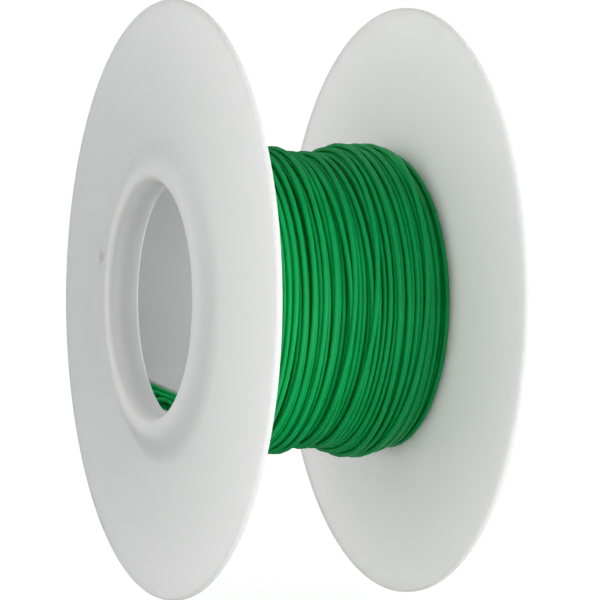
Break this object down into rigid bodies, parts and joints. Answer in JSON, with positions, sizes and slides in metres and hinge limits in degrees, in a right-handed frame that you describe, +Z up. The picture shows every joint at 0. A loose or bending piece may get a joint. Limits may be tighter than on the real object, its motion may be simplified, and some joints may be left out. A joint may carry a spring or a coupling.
{
  "type": "wire spool",
  "caption": "Small moulded two-flange spool wound with fine green insulated hook-up wire, with a collared spindle bore.",
  "frame": {"origin": "centre of the spool, on its axis, midway between the two flanges", "axes": "+Y along the spool's axis towards the flange that the wire's outer end passes through, +Z up as the spool stands on its rims"},
  "size_m": [0.057, 0.0278, 0.057],
  "materials": {
    "flange_white": "satin moulded white, faintly translucent",
    "core_white": "satin moulded white",
    "wire_green": "semi-gloss green insulation"
  },
  "bodies": {
    "wound_core": {"core": "core_white", "winding": "wire_green", "wire_start": "wire_green", "wire_end": "wire_green"},
    "front_flange": {"flange_front": "flange_white"},
    "back_flange": {"flange_back": "flange_white"}
  },
  "joints": [
    {"name": "front_flange_pull", "type": "slide", "parent": "wound_core", "child": "front_flange", "axis": [0, -1, 0], "range_m": [0, 0.0016]},
    {"name": "back_flange_pull", "type": "slide", "parent": "wound_core", "child": "back_flange", "axis": [0, 1, 0], "range_m": [0, 0.0016]}
  ]
}
